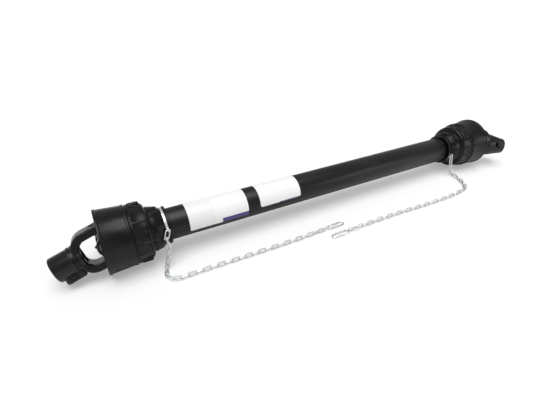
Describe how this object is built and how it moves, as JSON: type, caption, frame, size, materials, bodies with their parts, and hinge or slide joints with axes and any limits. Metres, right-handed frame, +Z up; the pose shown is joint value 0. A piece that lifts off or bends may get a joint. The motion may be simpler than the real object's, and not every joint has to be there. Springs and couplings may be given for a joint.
{
  "type": "pto drive shaft",
  "caption": "Telescoping driveline with cross joints at both ends, a splined and a bolted yoke, plastic guard tubes with flared end cones, and safety chains.",
  "frame": {"origin": "on the floor under the middle of the part, which lies on its two guard rims", "axes": "+X along the shaft from the splined tractor end to the bolted implement end, +Z up, chains on the -Y side"},
  "size_m": [1.2135, 0.2029, 0.1278],
  "materials": {
    "guard_black": "moulded black polyethylene, satin",
    "tube_black": "extruded black plastic tube, satin",
    "ring_nylon": "natural nylon",
    "yoke_iron": "forged steel under thin dark grey paint",
    "profile_steel": "drawn profile tube, greased",
    "bearing_steel": "hardened steel, dull",
    "zinc": "zinc plated"
  },
  "bodies": {
    "guard_left": {"left_guard_cone": "guard_black", "outer_guard_tube": "tube_black", "left_bearing_ring": "ring_nylon", "left_chain_strap": "zinc", "left_chain_connector": "zinc", "left_chain": "zinc", "left_chain_hook": "zinc"},
    "guard_right": {"right_guard_cone": "guard_black", "inner_guard_tube": "tube_black", "right_bearing_ring": "ring_nylon", "right_chain_strap": "zinc", "right_chain_hanger": "zinc", "right_chain": "zinc", "right_chain_hook": "zinc"},
    "shaft_left": {"left_inner_yoke": "yoke_iron", "outer_profile_tube": "profile_steel", "left_yoke_pin": "bearing_steel", "left_inner_far_cap": "bearing_steel", "left_inner_far_snap_ring": "bearing_steel", "left_inner_near_cap": "bearing_steel", "left_inner_near_snap_ring": "bearing_steel"},
    "cross_left": {"left_cross": "bearing_steel", "left_grease_nipple": "zinc"},
    "yoke_left": {"tractor_yoke": "yoke_iron", "left_outer_upper_cap": "bearing_steel", "left_outer_upper_snap_ring": "bearing_steel", "left_outer_lower_cap": "bearing_steel", "left_outer_lower_snap_ring": "bearing_steel", "push_pin_spring": "zinc"},
    "pin": {"push_pin": "zinc"},
    "shaft_right": {"right_inner_yoke": "yoke_iron", "inner_profile_tube": "profile_steel", "right_yoke_pin": "bearing_steel", "right_inner_far_cap": "bearing_steel", "right_inner_far_snap_ring": "bearing_steel", "right_inner_near_cap": "bearing_steel", "right_inner_near_snap_ring": "bearing_steel"},
    "cross_right": {"right_cross": "bearing_steel", "right_grease_nipple": "zinc"},
    "yoke_right": {"implement_yoke": "yoke_iron", "right_outer_upper_cap": "bearing_steel", "right_outer_upper_snap_ring": "bearing_steel", "right_outer_lower_cap": "bearing_steel", "right_outer_lower_snap_ring": "bearing_steel", "shear_bolt": "zinc", "shear_bolt_nut": "zinc"}
  },
  "joints": [
    {"name": "telescope", "type": "slide", "parent": "guard_left", "child": "guard_right", "axis": [1, 0, 0], "range_m": [0, 0.48]},
    {"name": "shaft_spin", "type": "hinge", "parent": "guard_left", "child": "shaft_left", "pos_m": [0, 0.0374, 0.06389], "axis": [1, 0, 0], "continuous": true},
    {"name": "profile_slide", "type": "slide", "parent": "shaft_left", "child": "shaft_right", "axis": [1, 0, 0], "range_m": [0, 0.48]},
    {"name": "left_cross_hinge", "type": "hinge", "parent": "shaft_left", "child": "cross_left", "pos_m": [-0.5026, 0.0374, 0.06389], "axis": [0, 0.9397, -0.342], "range_deg": [-6, 38]},
    {"name": "left_yoke_hinge", "type": "hinge", "parent": "cross_left", "child": "yoke_left", "pos_m": [-0.5026, 0.0374, 0.06389], "axis": [-0.2756, 0.3288, 0.9033], "range_deg": [-22, 22]},
    {"name": "push_pin_press", "type": "slide", "parent": "yoke_left", "child": "pin", "axis": [0, -0.9397, 0.342], "range_m": [0, 0.007], "stiffness_N_per_m": 800, "springref_m": -0.004, "deforming": ["push_pin_spring"]},
    {"name": "right_cross_hinge", "type": "hinge", "parent": "shaft_right", "child": "cross_right", "pos_m": [0.5044, 0.0374, 0.06389], "axis": [0, 0.9397, -0.342], "range_deg": [-36, 1]},
    {"name": "right_yoke_hinge", "type": "hinge", "parent": "cross_right", "child": "yoke_right", "pos_m": [0.5044, 0.0374, 0.06389], "axis": [0.3057, 0.3256, 0.8947], "range_deg": [-3, 58]}
  ],
  "couplings": [
    {"joint": "profile_slide", "follows": "telescope", "ratio": 1}
  ]
}
